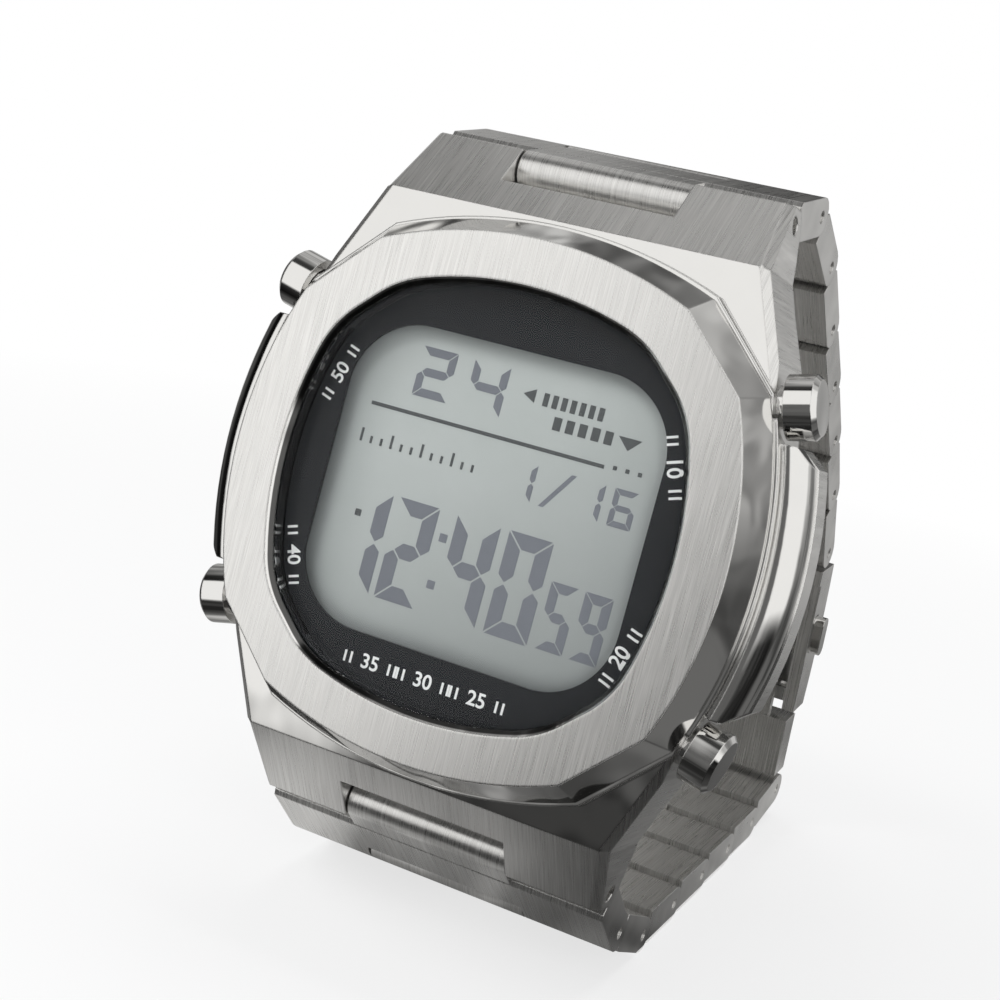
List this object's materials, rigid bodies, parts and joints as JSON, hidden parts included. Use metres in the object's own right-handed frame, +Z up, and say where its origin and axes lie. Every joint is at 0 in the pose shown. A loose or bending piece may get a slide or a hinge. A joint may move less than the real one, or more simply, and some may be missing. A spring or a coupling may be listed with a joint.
{
  "type": "digital wristwatch",
  "caption": "Digital wristwatch with a cushion-shaped steel case, side pushers and a closed link bracelet with a folding clasp.",
  "frame": {"origin": "middle of the footprint, on the surface that the watch stands on", "axes": "+Z up, +X towards 3 o'clock, dial facing -Y and leaning back by 10.0 degrees"},
  "size_m": [0.0466, 0.0618, 0.0613],
  "materials": {
    "case_steel": "satin brushed with polished bevels",
    "bezel_steel": "brushed flat top and polished bevels",
    "bracelet_steel": "satin brushed along the links",
    "pusher_steel": "polished",
    "pin_steel": "plain turned",
    "screw_steel": "plain turned",
    "mineral_glass": "clear, flat",
    "mask_black": "smooth black with white marks",
    "display_grey": "grey liquid crystal display",
    "light_green": "pale green light film",
    "seal_rubber": "smooth black",
    "strip_rubber": "pink conductive rubber",
    "frame_plastic": "moulded black",
    "board_green": "green lacquer with tracks",
    "chip_black": "black moulding",
    "can_metal": "plain drawn can",
    "cell_steel": "nickel plated",
    "clip_steel": "spring strip",
    "alarm_brass": "thin brass disc"
  },
  "bodies": {
    "case": {"middle_case": "case_steel", "bezel": "bezel_steel", "crystal": "mineral_glass", "case_back": "case_steel", "spring_bars": "pin_steel", "crystal_gasket": "seal_rubber", "dial_mask": "mask_black", "lcd_panel": "display_grey", "light_panel": "light_green", "connector_strips": "strip_rubber", "module_frame": "frame_plastic", "circuit_board": "board_green", "clock_chip": "chip_black", "quartz_can": "can_metal", "battery": "cell_steel", "battery_clip": "clip_steel", "alarm_disc": "alarm_brass", "case_back_gasket": "seal_rubber", "case_back_screws": "screw_steel", "pusher_seals": "seal_rubber", "pusher_springs": "pin_steel"},
    "pusher_upper_right": {"pusher_upper_right": "pusher_steel"},
    "pusher_lower_right": {"pusher_lower_right": "pusher_steel"},
    "pusher_upper_left": {"pusher_upper_left": "pusher_steel"},
    "pusher_lower_left": {"pusher_lower_left": "pusher_steel"},
    "upper_link_1": {"upper_link_1": "bracelet_steel", "upper_pin_1": "pin_steel"},
    "upper_link_2": {"upper_link_2": "bracelet_steel", "upper_pin_2": "pin_steel"},
    "upper_link_3": {"upper_link_3": "bracelet_steel", "upper_pin_3": "pin_steel"},
    "upper_link_4": {"upper_link_4": "bracelet_steel", "upper_pin_4": "pin_steel"},
    "upper_link_5": {"upper_link_5": "bracelet_steel", "upper_pin_5": "pin_steel"},
    "upper_link_6": {"upper_link_6": "bracelet_steel", "upper_pin_6": "pin_steel"},
    "upper_link_7": {"upper_link_7": "bracelet_steel", "upper_pin_7": "pin_steel"},
    "lower_link_1": {"lower_link_1": "bracelet_steel", "lower_pin_1": "pin_steel"},
    "lower_link_2": {"lower_link_2": "bracelet_steel", "lower_pin_2": "pin_steel"},
    "lower_link_3": {"lower_link_3": "bracelet_steel", "lower_pin_3": "pin_steel"},
    "lower_link_4": {"lower_link_4": "bracelet_steel", "lower_pin_4": "pin_steel"},
    "lower_link_5": {"lower_link_5": "bracelet_steel", "lower_pin_5": "pin_steel"},
    "lower_link_6": {"lower_link_6": "bracelet_steel", "lower_pin_6": "pin_steel"},
    "lower_link_7": {"lower_link_7": "bracelet_steel", "lower_pin_7": "pin_steel"},
    "clasp_cover": {"clasp_cover": "bracelet_steel", "cover_hinge_pin": "pin_steel"},
    "middle_leaf": {"middle_leaf": "bracelet_steel", "leaf_hinge_pin": "pin_steel"},
    "inner_leaf": {"inner_leaf": "bracelet_steel"},
    "clasp_button_right": {"clasp_button_right": "pusher_steel"},
    "clasp_button_left": {"clasp_button_left": "pusher_steel"}
  },
  "joints": [
    {"name": "upper_link_1_hinge", "type": "hinge", "parent": "case", "child": "upper_link_1", "pos_m": [0, -0.0135, 0.05897], "axis": [1, 0, 0], "range_deg": [0, 60]},
    {"name": "upper_link_2_hinge", "type": "hinge", "parent": "upper_link_1", "child": "upper_link_2", "pos_m": [0, -0.00584, 0.05978], "axis": [1, 0, 0], "range_deg": [0, 41]},
    {"name": "upper_link_3_hinge", "type": "hinge", "parent": "upper_link_2", "child": "upper_link_3", "pos_m": [0, 0.00083, 0.05593], "axis": [1, 0, 0], "range_deg": [0, 18]},
    {"name": "upper_link_4_hinge", "type": "hinge", "parent": "upper_link_3", "child": "upper_link_4", "pos_m": [0, 0.00646, 0.05068], "axis": [1, 0, 0], "range_deg": [0, 5]},
    {"name": "upper_link_5_hinge", "type": "hinge", "parent": "upper_link_4", "child": "upper_link_5", "pos_m": [0, 0.01218, 0.04552], "axis": [1, 0, 0], "range_deg": [0, 7]},
    {"name": "upper_link_6_hinge", "type": "hinge", "parent": "upper_link_5", "child": "upper_link_6", "pos_m": [0, 0.01772, 0.04018], "axis": [1, 0, 0], "range_deg": [0, 9]},
    {"name": "upper_link_7_hinge", "type": "hinge", "parent": "upper_link_6", "child": "upper_link_7", "pos_m": [0, 0.02287, 0.03445], "axis": [1, 0, 0], "range_deg": [0, 13]},
    {"name": "lower_link_1_hinge", "type": "hinge", "parent": "case", "child": "lower_link_1", "pos_m": [0, -0.02218, 0.00973], "axis": [-1, 0, 0], "range_deg": [0, 60]},
    {"name": "lower_link_2_hinge", "type": "hinge", "parent": "lower_link_1", "child": "lower_link_2", "pos_m": [0, -0.01664, 0.00438], "axis": [-1, 0, 0], "range_deg": [0, 27]},
    {"name": "lower_link_3_hinge", "type": "hinge", "parent": "lower_link_2", "child": "lower_link_3", "pos_m": [0, -0.0095, 0.0015], "axis": [-1, 0, 0], "range_deg": [0, 27]},
    {"name": "lower_link_4_hinge", "type": "hinge", "parent": "lower_link_3", "child": "lower_link_4", "pos_m": [0, -0.0018, 0.0015], "axis": [-1, 0, 0], "range_deg": [0, 5]},
    {"name": "lower_link_5_hinge", "type": "hinge", "parent": "lower_link_4", "child": "lower_link_5", "pos_m": [0, 0.0059, 0.0015], "axis": [-1, 0, 0], "range_deg": [0, 5]},
    {"name": "lower_link_6_hinge", "type": "hinge", "parent": "lower_link_5", "child": "lower_link_6", "pos_m": [0, 0.0136, 0.0015], "axis": [-1, 0, 0], "range_deg": [0, 7]},
    {"name": "lower_link_7_hinge", "type": "hinge", "parent": "lower_link_6", "child": "lower_link_7", "pos_m": [0, 0.02129, 0.00177], "axis": [-1, 0, 0], "range_deg": [0, 13]},
    {"name": "clasp_cover_hinge", "type": "hinge", "parent": "upper_link_7", "child": "clasp_cover", "pos_m": [0, 0.02718, 0.02807], "axis": [1, 0, 0], "range_deg": [0, 35.11]},
    {"name": "middle_leaf_hinge", "type": "hinge", "parent": "clasp_cover", "child": "middle_leaf", "pos_m": [0, 0.0287, 0.01384], "axis": [1, 0, 0], "range_deg": [0, 32]},
    {"name": "inner_leaf_hinge", "type": "hinge", "parent": "middle_leaf", "child": "inner_leaf", "pos_m": [0, 0.02742, 0.02307], "axis": [-1, 0, 0], "range_deg": [0, 80]},
    {"name": "pusher_upper_right_press", "type": "slide", "parent": "case", "child": "pusher_upper_right", "axis": [-0.9744, -0.0391, -0.2215], "range_m": [0, 0.0005], "stiffness_N_per_m": 2000},
    {"name": "pusher_lower_right_press", "type": "slide", "parent": "case", "child": "pusher_lower_right", "axis": [-0.9744, 0.0391, 0.2215], "range_m": [0, 0.0005], "stiffness_N_per_m": 2000},
    {"name": "pusher_upper_left_press", "type": "slide", "parent": "case", "child": "pusher_upper_left", "axis": [0.9744, -0.0391, -0.2215], "range_m": [0, 0.0005], "stiffness_N_per_m": 2000},
    {"name": "pusher_lower_left_press", "type": "slide", "parent": "case", "child": "pusher_lower_left", "axis": [0.9744, 0.0391, 0.2215], "range_m": [0, 0.0005], "stiffness_N_per_m": 2000},
    {"name": "clasp_button_right_press", "type": "slide", "parent": "clasp_cover", "child": "clasp_button_right", "axis": [-1, 0, 0], "range_m": [0, 0.0006], "stiffness_N_per_m": 1500},
    {"name": "clasp_button_left_press", "type": "slide", "parent": "clasp_cover", "child": "clasp_button_left", "axis": [1, 0, 0], "range_m": [0, 0.0006], "stiffness_N_per_m": 1500}
  ]
}
